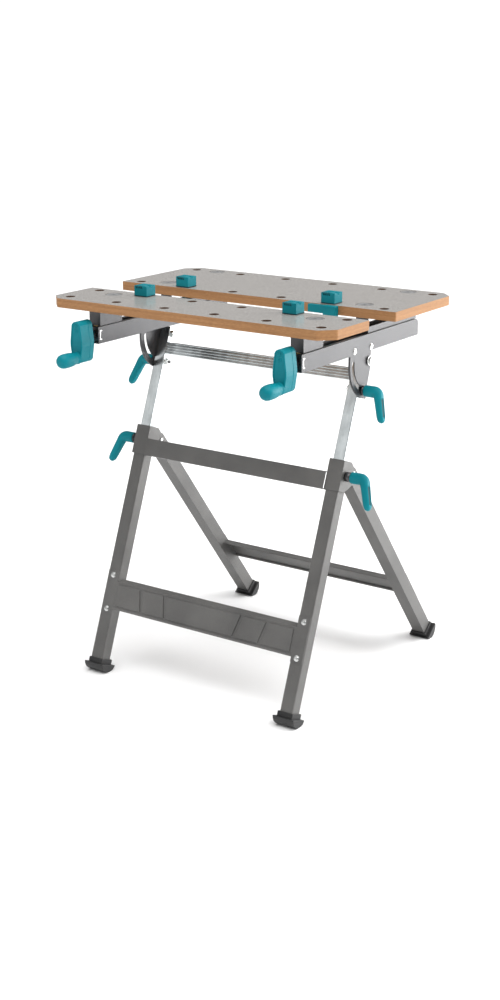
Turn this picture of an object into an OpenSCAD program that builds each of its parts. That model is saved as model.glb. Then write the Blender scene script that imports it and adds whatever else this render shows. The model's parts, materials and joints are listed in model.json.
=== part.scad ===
// Folding clamping work table on two pairs of legs.
// Millimetres, +Z up, X along the boards, cranks towards -Y, origin on the floor under the middle.

/* [Table top] */
// Length of both boards, left to right
top_len = 685; // [620:5:820]
// Depth of the sliding front board
front_depth = 146; // [125:1:180]
// Depth of the fixed rear board
rear_depth = 258; // [230:1:320]
// Thickness of both boards
board_t = 19; // [16:1:24]
// Opening between the two boards
jaw_gap = 102; // [98:1:130]
// Height of the work surface above the floor
work_height = 822; // [760:1:900]
// Length cut off the outer corners of the boards
corner_cut = 28; // [10:1:40]
// Diameter of the dog holes
dog_hole_d = 20; // [19:0.5:22]
// Distance between neighbouring dog holes
hole_pitch = 122; // [105:1:124]
// Distance from a board's inner edge to its first row of holes
inner_inset = 21; // [20:1:30]
// Distance from a board's outer edge to its second row of holes
outer_inset = 31; // [28:1:36]

/* [Rails] */
// Length of the two rails
rail_len = 462; // [440:1:500]
// Width of a rail
rail_w = 36; // [35:1:42]
// Height of a rail
rail_h = 35; // [33:1:42]
// Wall thickness of a rail
rail_wall = 2; // [1.5:0.5:2.5]
// Height of the carriages between rail and board
carriage_h = 37; // [32:1:44]
// Width of the carriages
carriage_w = 29; // [27:1:30]
// Length of a front carriage
carriage_len = 71; // [66:1:76]
// Diameter of the clamping spindles
spindle_d = 10; // [8:1:12]

/* [Frame] */
// Distance between the left and the right legs, centre to centre
frame_w = 495; // [440:5:560]
// Lean of the front legs from upright, in degrees
leg_lean = 21; // [18:0.5:24]
// Lean of the rear legs from upright, in degrees
rear_lean = 38; // [34:0.5:42]
// Outer width of the square legs
leg_w = 30; // [29:1:34]
// Wall thickness of the legs
leg_wall = 1.5; // [1:0.25:1.5]
// Outer width of the square mast tubes
tube_w = 25; // [22:1:25]
// Wall thickness of the mast tubes
tube_wall = 1.5; // [1:0.25:2]
// Length of mast tube showing above the legs, from the tilt pivot
mast_out = 209; // [190:1:230]
// Length of mast tube inside the legs
mast_in = 165; // [150:1:240]
// Height of the two step panels
panel_h = 61; // [50:1:80]

/* [Handles] */
// Length of a crank arm, end to end
crank_len = 87; // [80:1:88]
// Length of a crank knob
knob_len = 53; // [40:1:60]
// Reach of a clamping lever out from its bush
lever_reach = 34; // [30:1:40]
// Drop of a clamping lever's grip
lever_drop = 56; // [44:1:60]
// Outer radius of the tilt plates about the pivot
plate_r = 78; // [76:1:84]

/* [Hidden] */

$fn = 64;
eps = 0.01;
far = 400;
// Clearances: a turning or sliding round fit, a fixed fit, and free space between moving parts
run_fit = 0.06;
seat_fit = 0.05;
free_gap = 0.4;
sheet = 2.5;
thin_sheet = 1.5;

side_x = frame_w / 2;
holes_in_row = 6;
dog_column = 1.5;

// Levels above the floor
board_z = work_height - board_t;
rail_top = board_z - carriage_h;
rail_z = rail_top - rail_h;
pivot_drop = 21;
pivot_z = rail_z - pivot_drop;
spindle_z = rail_z + rail_h / 2;

// Places along Y; zero is the tilt pivot until the whole is centred
rear_board_y = -37.5;
front_board_y = rear_board_y - jaw_gap - front_depth;
rail_y = -258;
crank_gap = 11;
crank_t = 40;
crank_back = rail_y - crank_gap;
crank_front = crank_back - crank_t;
carriage_inset = 11;
carriage_y = rail_y + carriage_inset;
front_screw_inset = 7;
front_screw_y = carriage_y + carriage_len - front_screw_inset;
rear_screw_inset = 44;
rear_screw_y = [rear_board_y + rear_screw_inset, rear_board_y + rear_depth - outer_inset];

// Boards
disc_r = 18;
disc_t = 2.4;
screw_r = 4;
screw_tail = 8;
screw_nut_r = 7;
screw_nut_h = 5;

// Rails
rail_lip = 7;
rail_end_r = 12;
tab_h = 20;
tab_w = 6;
tab_t = 2;
tab_inset = 5;

// Spindle nut
nut_len = 34;
nut_body_h = 14;
nut_stem_w = 14;
spindle_tail = 150;
spindle_collar_r = spindle_d / 2 + 4;
spindle_collar_t = 5;

// Tilt plates hang inside the outer wall of each rail
plate_face = rail_w / 2 - rail_wall;
plate_t = sheet;
plate_rear = 8;
plate_up = 15;
slot_r = 62;
slot_w = 9;
slot_top = 176;
slot_rest = 270 - leg_lean;
rim_w = 5;
plate_bolt_y = [-61, 4];
plate_bolt_up = 7.9;
bolt_r = 4;
pivot_r = 5;
pivot_nut_r = 8;
washer_r = 10;
plate_head_r = 6.5;
plate_head_h = 2.5;
plate_nut_r = 5.8;
nut_h = 4;
tilt_washer_r = 9;
tilt_nut_r = 7.5;

// Mast
tube_top = 14;
bar_top = 20;
bar_h = 26;
bar_t = 12;
bar_ribs = 4;
plug_len = 20;

// Sleeve brackets and the rear leg hinge, in the front legs' own frame
sleeve_gap = 0.4;
sleeve_in = leg_w / 2 + sleeve_gap;
sleeve_h = 64;
cheek_back_h = 46;
cheek_foot_back = 10;
clamp_s = mast_out + 31;
pin_s = mast_out + 23;
pin_back = leg_w + 1.5;
pin_r = 4;
pin_head_r = 6.5;
pin_head_h = 2.2;
cheek_r = 9;
leg_top_s = mast_out + 3;
bush_flange = 1.5;

// Crossbar between the sleeves
cross_top_s = mast_out + 28;
cross_h = 37;
cross_front = leg_w / 2 + sleeve_gap + 6;
cross_depth = 20;

// Feet: a flat-topped rocker sole across the end of each leg, and a collar round the leg
foot_len = 50;
sole_drop = 8;
sole_flat = 0.8;
collar_w = leg_w + 6;
collar_h = 12;
leg_end = 16;

// Step panels
panel_from_foot = 124;
panel_fields = 5;
field_rise = 1;
field_top = 5;
field_bottom = 9;
field_taper = 12;
field_gap = 8;
tab_above = 24;
tab_below = 10;
step_depth = 20;
lip_r = 3.5;
panel_bolt_r = 2.8;
panel_head_r = 5.5;
panel_bolt_z = [12, -panel_h - 2];

// Lever
bush_r = 10;
tilt_bush = 6;
height_bush = 14;
bolt_tail = 14;
hub_r = 11;
grip_r = 10.5;
tip_r = 8;
tip_out = 20;

// Dogs and edge stop
dog_x = 32;
dog_y = 30;
dog_h = 22.5;
dog_slots = 4;
slot_inset = 3;
slot_pitch = 4.5;
slot_width = 1.7;
slot_lean = 35;
slot_depth = 7;
vee = 4;
vee_len = 8;
stop_t = 14;
stop_w = 28;
stop_arm = 38;
stop_offset = 14.5;

// Lengths along the legs
leg_len_s = (pivot_z - leg_end) / cos(leg_lean);
pin_y = -pin_s * sin(leg_lean) + pin_back * cos(leg_lean);
pin_z = pivot_z - pin_s * cos(leg_lean) - pin_back * sin(leg_lean);
rear_len = (pin_z - leg_end) / cos(rear_lean);
front_sole_r = leg_end + sole_drop * cos(leg_lean) + sole_flat;
rear_sole_r = leg_end + sole_drop * cos(rear_lean) + sole_flat;
front_panel_s = leg_len_s - panel_from_foot - panel_h;
rear_panel_s = rear_len - panel_from_foot - panel_h;

// The whole reaches from the crank knobs to the back of the rear feet
front_reach = crank_front - knob_len;
rear_reach = pin_y + (rear_len - sole_drop) * sin(rear_lean) + rear_sole_r;
mid_y = (front_reach + rear_reach) / 2;

module placed() translate([0, -mid_y, 0]) children();
module on_side(s) translate([s * side_x, 0, 0]) mirror([s < 0 ? 1 : 0, 0, 0]) children();
module both_sides() {
  on_side(-1) children();
  on_side(1) children();
}
module leg_frame() translate([0, 0, pivot_z]) rotate([-leg_lean, 0, 0]) children();
module rear_frame() translate([0, pin_y, pin_z]) rotate([rear_lean, 0, 0]) children();
// A bar along X from x0 to x1
module bar_x(r, x0, x1, fn = 48)
  translate([x0, 0, 0]) rotate([0, 90, 0]) cylinder(r = r, h = x1 - x0, $fn = fn);
// A bar along Y from y0 to y1
module bar_y(r, y0, y1) translate([0, y0, 0]) rotate([-90, 0, 0]) cylinder(r = r, h = y1 - y0);
// A flat outline drawn in Y and Z, given a thickness along X from x0 to x1
module slab_x(x0, x1) translate([x0, 0, 0]) rotate([90, 0, 90]) linear_extrude(height = x1 - x0) children();
module box(x0, x1, y0, y1, z0, z1) translate([x0, y0, z0]) cube([x1 - x0, y1 - y0, z1 - z0]);
module square_tube(w, wall, z0, z1) {
  difference() {
    box(-w / 2, w / 2, -w / 2, w / 2, z0, z1);
    box(-w / 2 + wall, w / 2 - wall, -w / 2 + wall, w / 2 - wall, z0 - 1, z1 + 1);
  }
}
// Points along an arc, and a list of points moved by v
function arc(r, a0, a1, n = 20) =
  [for (i = [0 : n]) let (a = a0 + (a1 - a0) * i / n) r * [cos(a), sin(a)]];
function shifted(points, v) = [for (p = points) p + v];
function hole_x(i) = (i - (holes_in_row - 1) / 2) * hole_pitch;

// ---- boards ----
front_rows = [front_board_y + outer_inset, front_board_y + front_depth - inner_inset];
rear_rows = [rear_board_y + inner_inset, rear_board_y + rear_depth - outer_inset];

module board(y0, depth, cut_front, rows, screws) {
  half = top_len / 2;
  y1 = y0 + depth;
  near = cut_front ? corner_cut : 0;
  back = cut_front ? 0 : corner_cut;
  difference() {
    translate([0, 0, board_z])
      linear_extrude(height = board_t)
        polygon([[-half, y0 + near], [-half + near, y0], [half - near, y0], [half, y0 + near],
          [half, y1 - back], [half - back, y1], [-half + back, y1], [-half, y1 - back]]);
    for (i = [0 : holes_in_row - 1], y = rows)
      translate([hole_x(i), y, board_z - 1]) cylinder(d = dog_hole_d, h = board_t + 2);
    for (s = [-1, 1], y = screws) translate([s * side_x, y, board_z - 1]) {
      cylinder(r = screw_r + seat_fit, h = board_t + 2);
      translate([0, 0, board_t + 1 - disc_t]) cylinder(r = disc_r + seat_fit, h = disc_t + 1);
    }
  }
}
module front_board() color("peru") board(front_board_y, front_depth, true, front_rows, [front_screw_y]);
module rear_board() color("peru") board(rear_board_y, rear_depth, false, rear_rows, rear_screw_y);

module board_screw(y) {
  translate([0, y, 0]) {
    translate([0, 0, work_height - disc_t]) cylinder(r = disc_r, h = disc_t);
    translate([0, 0, board_z - screw_tail]) cylinder(r = screw_r, h = board_t + screw_tail - disc_t + eps);
    translate([0, 0, board_z - sheet - screw_nut_h]) cylinder(r = screw_nut_r, h = screw_nut_h, $fn = 6);
  }
}
module front_board_screws() color("gray") both_sides() board_screw(front_screw_y);
module rear_board_screws() color("gray") both_sides() for (y = rear_screw_y) board_screw(y);

// ---- rails ----
// The bracket-shaped slit near the front end, where the bearing plate's tab comes through
module tab_shape(grow) {
  difference() {
    square([tab_w + 2 * grow, tab_h + 2 * grow], center = true);
    translate([tab_t, 0]) square([tab_w, tab_h - 2 * tab_t - 2 * grow], center = true);
  }
}
module at_tab() translate([0, rail_y + tab_inset + tab_w / 2, spindle_z]) children();

module rail() {
  w = rail_w / 2;
  inside = w - rail_wall;
  open = inside - rail_lip;
  floor_z = rail_z + rail_wall;
  rail_end = rail_y + rail_len;
  difference() {
    box(-w, w, rail_y, rail_end, rail_z, rail_top);
    box(-inside, inside, rail_y - 1, rail_end + 1, floor_z, rail_top - rail_wall);
    box(-open, open, rail_y - 1, rail_end + 1, floor_z, rail_top + 1);
    // rounded top corner at the rear
    translate([0, rail_end - rail_end_r, rail_top - rail_end_r]) difference() {
      box(-w - 1, w + 1, 0, rail_end_r + 1, 0, rail_end_r + 1);
      bar_x(rail_end_r, -w - 2, w + 2);
    }
    at_tab() slab_x(-w - 1, w + 1) tab_shape(seat_fit);
    // slot in the floor for the tilt plate, and its two bolt holes
    box(plate_face - plate_t - seat_fit, plate_face, -plate_r - seat_fit, plate_rear + seat_fit,
      rail_z - 1, floor_z + 1);
    for (y = plate_bolt_y)
      translate([0, y, rail_z + plate_bolt_up]) bar_x(bolt_r + seat_fit, plate_face - 1, w + 1);
  }
}
module left_rail() color("dimgray") on_side(-1) rail();
module right_rail() color("dimgray") on_side(1) rail();

// ---- tilt plates ----
plate_end = 260;
plate_top = pivot_drop + plate_up;
module plate_outline()
  polygon(concat(
    [[plate_rear, plate_top], [-plate_r, plate_top]],
    arc(plate_r, 180, plate_end),
    [[plate_rear, -10]]));
module inside_rim(r = plate_r - rim_w)
  polygon(concat([[far, pivot_drop], [-r, pivot_drop]], arc(r, 180, plate_end + 5), [[far, -far / 2]]));
module arc_slot() {
  half = slot_w / 2;
  polygon(concat(
    arc(slot_r + half, slot_top, slot_rest),
    shifted(arc(half, slot_rest, slot_rest + 180, 10), slot_r * [cos(slot_rest), sin(slot_rest)]),
    arc(slot_r - half, slot_rest, slot_top),
    shifted(arc(half, slot_top + 180, slot_top + 360, 10), slot_r * [cos(slot_top), sin(slot_top)])));
}
module tilt_plate() {
  back = plate_face - plate_t;
  front = plate_face + rail_wall;
  translate([0, 0, pivot_z]) difference() {
    slab_x(back, front) plate_outline();
    // only a rim stands up along the curved edge, and nothing where the rail's wall is
    slab_x(plate_face, front + 1) inside_rim();
    box(plate_face, front + 1, -far, far, pivot_drop - seat_fit, far);
    slab_x(back - 1, front + 1) arc_slot();
    bar_x(pivot_r + run_fit, back - 1, front + 1);
    for (y = plate_bolt_y)
      translate([0, y, pivot_drop + plate_bolt_up]) bar_x(bolt_r + seat_fit, back - 1, front + 1);
  }
}
module left_tilt_plate() color("dimgray") on_side(-1) tilt_plate();
module right_tilt_plate() color("dimgray") on_side(1) tilt_plate();

module tilt_plate_bolts() {
  color("silver") both_sides() for (y = plate_bolt_y) translate([0, y, rail_z + plate_bolt_up]) {
    bar_x(bolt_r, plate_face - plate_t - nut_h, rail_w / 2 + 1);
    bar_x(plate_head_r, rail_w / 2, rail_w / 2 + plate_head_h);
    bar_x(plate_nut_r, plate_face - plate_t - nut_h, plate_face - plate_t, 6);
  }
}

// ---- carriages, brackets and bearings ----
module front_carriage() {
  w = carriage_w / 2;
  y1 = carriage_y + carriage_len;
  difference() {
    box(-w, w, carriage_y, y1, rail_top + free_gap, board_z);
    box(-w + thin_sheet, w - thin_sheet, carriage_y + thin_sheet, y1 + 1, rail_top - 1, board_z - sheet);
    translate([0, front_screw_y, board_z - sheet - 1]) cylinder(r = screw_r + seat_fit, h = sheet + 2);
  }
}
module left_front_carriage() color("dimgray") on_side(-1) front_carriage();
module right_front_carriage() color("dimgray") on_side(1) front_carriage();

module spindle_nuts() {
  w = carriage_w / 2 - thin_sheet;
  y0 = carriage_y + thin_sheet;
  color("goldenrod") both_sides() difference() {
    union() {
      box(-w, w, y0, y0 + nut_len, rail_top + free_gap, rail_top + nut_body_h);
      box(-nut_stem_w / 2, nut_stem_w / 2, y0, y0 + nut_len, spindle_z - spindle_d, rail_top + 1);
    }
    translate([0, 0, spindle_z]) bar_y(spindle_d / 2 + run_fit, y0 - 1, y0 + nut_len + 1);
  }
}

bracket_wall_h = 13;
module rear_bracket() {
  w = carriage_w / 2;
  y0 = rear_screw_y[0] - screw_nut_r - 3;
  y1 = rear_screw_y[1] + screw_nut_r + 3;
  post = 22;
  difference() {
    union() {
      box(-w, w, y0, y1, rail_top, rail_top + thin_sheet);
      for (x = [-w, w - thin_sheet])
        box(x, x + thin_sheet, y0, y1, rail_top, rail_top + bracket_wall_h);
      box(-w, w, y0, y0 + thin_sheet, rail_top, board_z);
      box(-w, w, y1 - thin_sheet, y1, rail_top, board_z);
      box(-w, w, y0, y0 + post, board_z - sheet, board_z);
      box(-w, w, y1 - post, y1, board_z - sheet, board_z);
    }
    for (y = rear_screw_y)
      translate([0, y, board_z - sheet - 1]) cylinder(r = screw_r + seat_fit, h = sheet + 2);
  }
}
module left_rear_bracket() color("dimgray") on_side(-1) rear_bracket();
module right_rear_bracket() color("dimgray") on_side(1) rear_bracket();

module bearing_plates() {
  w = rail_w / 2;
  inner = w - rail_wall - seat_fit;
  color("silver") both_sides() difference() {
    union() {
      at_tab() translate([0, -tab_w / 2, 0])
        box(-inner, inner, 0, tab_t, -rail_h / 2 + rail_wall + seat_fit, rail_h / 2 - rail_wall - seat_fit);
      at_tab() slab_x(-w, -inner + eps) tab_shape(0);
      at_tab() slab_x(inner - eps, w) tab_shape(0);
      translate([0, 0, spindle_z]) bar_y(spindle_collar_r, rail_y + 1, rail_y + tab_inset + 1);
    }
    translate([0, 0, spindle_z]) bar_y(spindle_d / 2 + run_fit, rail_y - 20, rail_y + 20);
  }
}

// ---- spindles and cranks ----
crank_seat = 24;
module spindle() {
  translate([0, 0, spindle_z]) {
    bar_y(spindle_d / 2, crank_back - crank_seat, rail_y + spindle_tail);
    bar_y(spindle_collar_r, rail_y - 1 - spindle_collar_t, rail_y - 1);
  }
}
module left_spindle() color("silver") on_side(-1) spindle();
module right_spindle() color("silver") on_side(1) spindle();

crank_r = 12;
crank_wide = 15.5;
crank_over = 34.5;
knob_r = 15;
knob_z = crank_over - crank_len + crank_r;
crank_mid_z = -12;
crank_mid_half = 5;
module crank_outline()
  polygon(concat(
    shifted(arc(crank_r, 160, 20, 10), [0, crank_over - crank_r]),
    [[crank_wide, crank_mid_z + crank_mid_half], [crank_wide, crank_mid_z - crank_mid_half]],
    shifted(arc(crank_r, -20, -160, 10), [0, knob_z]),
    [[-crank_wide, crank_mid_z - crank_mid_half], [-crank_wide, crank_mid_z + crank_mid_half]]));
module crank() {
  translate([0, 0, spindle_z]) difference() {
    union() {
      translate([0, crank_back, 0]) rotate([90, 0, 0]) linear_extrude(height = crank_t) crank_outline();
      translate([0, 0, knob_z]) {
        bar_y(knob_r, crank_front - knob_len + knob_r, crank_front + 4);
        translate([0, crank_front - knob_len + knob_r, 0]) sphere(r = knob_r);
      }
    }
    bar_y(spindle_d / 2 + seat_fit, crank_back - crank_seat, crank_back + 1);
  }
}
module left_crank() color("darkcyan") on_side(-1) crank();
module right_crank() color("darkcyan") on_side(1) crank();

// ---- mast ----
module mast_tube() {
  leg_frame() difference() {
    square_tube(tube_w, tube_wall, -mast_out - mast_in, tube_top);
    bar_x(pivot_r + seat_fit, -tube_w, tube_w);
    translate([0, 0, -slot_r]) bar_x(bolt_r + run_fit, -tube_w, tube_w);
  }
}
module left_mast_tube() color("silver") on_side(-1) mast_tube();
module right_mast_tube() color("silver") on_side(1) mast_tube();

module mast_crossbar() {
  half = side_x - tube_w / 2;
  rib = bar_h / (2 * bar_ribs + 1);
  front = -tube_w / 2;
  color("silver") leg_frame() {
    box(-half, half, front + 3, front + bar_t, -bar_top - bar_h, -bar_top);
    for (i = [0 : bar_ribs])
      box(-half, half, front, front + 3 + eps, -bar_top - (2 * i + 1) * rib, -bar_top - 2 * i * rib);
  }
}
module mast_plugs() {
  inner = tube_w / 2 - tube_wall;
  color("black") both_sides() leg_frame() {
    box(-inner, inner, -inner, inner, -mast_out - mast_in, -mast_out - mast_in + plug_len);
    box(-tube_w / 2, tube_w / 2, -tube_w / 2, tube_w / 2, -mast_out - mast_in - 3, -mast_out - mast_in);
  }
}
module pivot_bolts() {
  outer = tube_w / 2;
  color("silver") both_sides() translate([0, 0, pivot_z]) {
    bar_x(pivot_r, -outer - 8, plate_face + 4);
    bar_x(washer_r, plate_face + free_gap, plate_face + free_gap + 1.5);
    bar_x(pivot_nut_r, plate_face + free_gap + 1, plate_face + free_gap + 1 + nut_h, 6);
    bar_x(washer_r, outer, plate_face - plate_t - 0.3);
    bar_x(pivot_nut_r, -outer - 7, -outer, 6);
  }
}
module tilt_nuts() {
  outer = tube_w / 2;
  color("silver") both_sides() leg_frame() translate([0, 0, -slot_r]) difference() {
    union() {
      bar_x(tilt_washer_r, -outer - 1.5, -outer);
      bar_x(tilt_nut_r, -outer - 7, -outer - 1, 6);
    }
    bar_x(bolt_r + run_fit, -outer - 10, -outer + 1);
  }
}

// ---- clamping levers ----
// The face that a lever's bush stands on is at x = 0 here
module lever_bolt(depth, bush) {
  bar_x(bolt_r, -depth, bush + bolt_tail);
  bar_x(bush_r, free_gap, bush);
}
module lever_handle(bush) {
  drop = [tip_out, -lever_drop];
  reach = bush + lever_reach - tilt_bush;
  difference() {
    union() {
      bar_x(hub_r, bush, reach);
      translate([reach, 0, 0]) {
        sphere(r = hub_r + 0.5);
        rotate([0, 180 - atan2(tip_out, lever_drop), 0]) cylinder(r1 = grip_r, r2 = tip_r, h = norm(drop));
        translate([tip_out, 0, -lever_drop]) sphere(r = tip_r + 0.3);
      }
    }
    bar_x(bolt_r + seat_fit, 0, bush + bolt_tail);
  }
}
module at_tilt_clamp() leg_frame() translate([plate_face, 0, -slot_r]) children();
module at_height_clamp() leg_frame() translate([sleeve_in + sheet, 0, -clamp_s]) children();

tilt_depth = plate_face + tube_w / 2 + 8;
height_depth = sleeve_in + sheet - tube_w / 2 - free_gap;
module left_tilt_bolt() color("dimgray") on_side(-1) at_tilt_clamp() lever_bolt(tilt_depth, tilt_bush);
module right_tilt_bolt() color("dimgray") on_side(1) at_tilt_clamp() lever_bolt(tilt_depth, tilt_bush);
module left_tilt_lever() color("darkcyan") on_side(-1) at_tilt_clamp() lever_handle(tilt_bush);
module right_tilt_lever() color("darkcyan") on_side(1) at_tilt_clamp() lever_handle(tilt_bush);
module left_height_bolt() color("dimgray") on_side(-1) at_height_clamp() lever_bolt(height_depth, height_bush);
module right_height_bolt() color("dimgray") on_side(1) at_height_clamp() lever_bolt(height_depth, height_bush);
module left_height_lever() color("darkcyan") on_side(-1) at_height_clamp() lever_handle(height_bush);
module right_height_lever() color("darkcyan") on_side(1) at_height_clamp() lever_handle(height_bush);

// ---- front legs ----
module front_leg() {
  leg_frame() difference() {
    square_tube(leg_w, leg_wall, -leg_len_s, -leg_top_s);
    translate([0, 0, -clamp_s]) bar_x(bolt_r + 3 * run_fit, 0, leg_w);
    translate([0, -leg_w / 2, -front_panel_s]) panel_bolt_holes();
  }
}
module left_front_leg() color("dimgray") on_side(-1) front_leg();
module right_front_leg() color("dimgray") on_side(1) front_leg();

module cheek_outline() {
  front = -leg_w / 2 - sheet;
  polygon(concat(
    [[front, -mast_out], [leg_w / 2 - 1, -mast_out]],
    [for (a = [60 : -15 : -30]) [pin_back + cheek_r * cos(a), -pin_s + cheek_r * sin(a)]],
    [[pin_back + 1, -mast_out - cheek_back_h], [leg_w / 2 - cheek_foot_back, -mast_out - sleeve_h],
      [front, -mast_out - sleeve_h]]));
}
module sleeve() {
  leg_frame() difference() {
    union() {
      slab_x(sleeve_in, sleeve_in + sheet) cheek_outline();
      slab_x(-sleeve_in - sheet, -sleeve_in) cheek_outline();
      box(-sleeve_in - sheet, sleeve_in + sheet, -leg_w / 2 - sheet, -leg_w / 2,
        -mast_out - sleeve_h, -mast_out);
    }
    translate([0, 0, -clamp_s]) bar_x(bolt_r + run_fit, 0, 2 * leg_w);
    translate([0, pin_back, -pin_s]) bar_x(pin_r + seat_fit, -2 * leg_w, 2 * leg_w);
  }
}
module left_sleeve() color("dimgray") on_side(-1) sleeve();
module right_sleeve() color("dimgray") on_side(1) sleeve();

bush_depth = 22;
module guide_bushes() {
  inner = tube_w / 2 + free_gap;
  outer = leg_w / 2 - leg_wall;
  color("black") both_sides() leg_frame() difference() {
    union() {
      box(-outer, outer, -outer, outer, -leg_top_s - bush_depth, -leg_top_s);
      box(-leg_w / 2, leg_w / 2, -leg_w / 2, leg_w / 2, -leg_top_s, -leg_top_s + bush_flange);
    }
    box(-inner, inner, -inner, inner, -leg_top_s - bush_depth - 1, -leg_top_s + bush_flange + 1);
  }
}
module upper_crossbar() {
  half = side_x - sleeve_in - sheet;
  front = -cross_front;
  color("dimgray") leg_frame() {
    box(-half, half, front, front + thin_sheet, -cross_top_s - cross_h, -cross_top_s);
    for (z = [-cross_top_s - cross_h, -cross_top_s - thin_sheet])
      box(-half, half, front, front + cross_depth, z, z + thin_sheet);
  }
}
module hinge_pins() {
  grip = sleeve_in + sheet;
  color("silver") both_sides() leg_frame() translate([0, pin_back, -pin_s]) {
    bar_x(pin_r, -grip - 1, grip + 1);
    for (x = [-grip - pin_head_h, grip]) bar_x(pin_head_r, x, x + pin_head_h);
  }
}

// ---- step panels ----
// Drawn against the plane y = 0, facing -Y, hanging down from z = 0
field_edges = [-232, -165, -101, 101, 165, 232] / 247.5;
module step_panel() {
  half = side_x + leg_w / 2 - 1;
  inner = side_x - leg_w / 2 - free_gap;
  box(-half, half, -thin_sheet, 0, -panel_h, 0);
  for (x = [-side_x, side_x])
    box(x - leg_w / 2 + 1, x + leg_w / 2 - 1, -thin_sheet, 0, -panel_h - tab_below, tab_above);
  // raised fields whose slanting sides close in towards the bottom
  for (i = [0 : panel_fields - 1]) {
    a = field_edges[i] * side_x + field_gap / 2;
    b = field_edges[i + 1] * side_x - field_gap / 2;
    low_a = i == 0 ? a : a - sign(a) * field_taper;
    low_b = i == panel_fields - 1 ? b : b - sign(b) * field_taper;
    low_z = field_bottom - panel_h;
    translate([0, -thin_sheet + eps, 0]) rotate([90, 0, 0]) linear_extrude(height = field_rise + eps)
      polygon([[a, -field_top], [b, -field_top], [low_b, low_z], [low_a, low_z]]);
  }
  // rolled lip along the bottom edge
  translate([0, lip_r - thin_sheet - 1.5, -panel_h + lip_r]) bar_x(lip_r, -inner, inner);
}
module panel_step(lean) {
  inner = side_x - leg_w / 2 - free_gap;
  rotate([lean, 0, 0]) box(-inner, inner, -thin_sheet, step_depth, -thin_sheet, 0);
}
module bolted_panel(lean) {
  difference() {
    step_panel();
    for (s = [-1, 1]) translate([s * side_x, 0, 0]) panel_bolt_holes();
  }
  panel_step(lean);
}
module at_front_panel() leg_frame() translate([0, -leg_w / 2, -front_panel_s]) children();
module at_rear_panel() rear_frame() translate([0, leg_w / 2, -rear_panel_s]) mirror([0, 1, 0]) children();
module front_step_panel() color("dimgray") at_front_panel() bolted_panel(leg_lean);
module rear_step_panel() color("dimgray") at_rear_panel() bolted_panel(rear_lean);
module panel_bolt() {
  bar_y(panel_head_r, -thin_sheet - 2.5, -thin_sheet);
  bar_y(panel_bolt_r, -thin_sheet - 1, 6);
}
module panel_bolts() for (s = [-1, 1], z = panel_bolt_z) translate([s * side_x, 0, z]) panel_bolt();
// Holes for them along a panel's or a leg's own front wall
module panel_bolt_holes() for (z = panel_bolt_z)
  translate([0, 0, z]) bar_y(panel_bolt_r + seat_fit, -leg_w / 2, leg_w / 2);
module front_panel_bolts() color("silver") at_front_panel() panel_bolts();
module rear_panel_bolts() color("silver") at_rear_panel() panel_bolts();

// ---- rear legs ----
rear_wall_cut = 24;
module rear_leg() {
  rear_frame() difference() {
    union() {
      square_tube(leg_w, leg_wall, -rear_len, -rear_wall_cut);
      for (s = [-1, 1]) translate([s * (leg_w / 2 - leg_wall / 2), 0, 0]) {
        box(-leg_wall / 2, leg_wall / 2, -leg_w / 2, leg_w / 2, -rear_wall_cut - 1, 0);
        bar_x(leg_w / 2, -leg_wall / 2, leg_wall / 2);
      }
    }
    bar_x(pin_r + run_fit, -leg_w, leg_w);
    translate([0, leg_w / 2, -rear_panel_s]) panel_bolt_holes();
  }
}
module left_rear_leg() color("dimgray") on_side(-1) rear_leg();
module right_rear_leg() color("dimgray") on_side(1) rear_leg();

// ---- feet ----
// Drawn in a leg's own frame, round the end of the leg at a distance len_s
module foot(len_s, sole_r) {
  difference() {
    union() {
      intersection() {
        translate([0, 0, -len_s + sole_drop]) bar_x(sole_r, -foot_len / 2, foot_len / 2);
        box(-foot_len, foot_len, -2 * sole_r, 2 * sole_r, -len_s - 2 * sole_r, -len_s + 1);
      }
      box(-collar_w / 2, collar_w / 2, -collar_w / 2, collar_w / 2, -len_s - 1, -len_s + collar_h);
    }
    box(-leg_w / 2, leg_w / 2, -leg_w / 2, leg_w / 2, -len_s, 0);
  }
}
module above_floor() difference() {
  children();
  box(-far, far, -2 * far, 2 * far, -far, 0);
}
module front_foot() above_floor() leg_frame() foot(leg_len_s, front_sole_r);
module rear_foot() above_floor() rear_frame() foot(rear_len, rear_sole_r);
module left_front_foot() color("black") on_side(-1) front_foot();
module right_front_foot() color("black") on_side(1) front_foot();
module left_rear_foot() color("black") on_side(-1) rear_foot();
module right_rear_foot() color("black") on_side(1) rear_foot();

// ---- dogs and edge stop ----
peg_len = 22;
module dog(x, y) {
  translate([x, y, work_height]) difference() {
    union() {
      box(-dog_x / 2, dog_x / 2, -dog_y / 2, dog_y / 2, free_gap, dog_h);
      translate([0, 0, -peg_len]) cylinder(d = dog_hole_d - 2 * run_fit, h = peg_len + 1);
    }
    // slanting grip slots across the left part of the top
    for (i = [0 : dog_slots - 1])
      translate([-dog_x / 2 + slot_inset + slot_pitch * i, 0, dog_h]) rotate([0, -slot_lean, 0])
        box(-slot_width / 2, slot_width / 2, -dog_y, dog_y / 6, -slot_depth, 3);
    // vee over the right part, for round work
    translate([0, 0, dog_h]) rotate([45, 0, 0]) box(dog_x / 2 - vee_len, dog_x, -vee, vee, -vee, vee);
  }
}
dog_at = dog_column * hole_pitch;
module front_left_dog() color("darkcyan") dog(-dog_at, front_rows[1]);
module front_right_dog() color("darkcyan") dog(dog_at, front_rows[1]);
module rear_left_dog() color("darkcyan") dog(-dog_at, rear_rows[0]);
module rear_right_dog() color("darkcyan") dog(dog_at, rear_rows[0]);

module edge_stop() {
  y1 = rear_board_y;
  x0 = dog_at + stop_offset - stop_w / 2;
  color("darkcyan") {
    box(x0, x0 + stop_w, y1 - stop_t, y1, board_z - 4, work_height - free_gap);
    box(x0 - stop_arm, x0 + eps, y1 - stop_t + 4, y1, board_z + 2, work_height - 1);
  }
}

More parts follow.
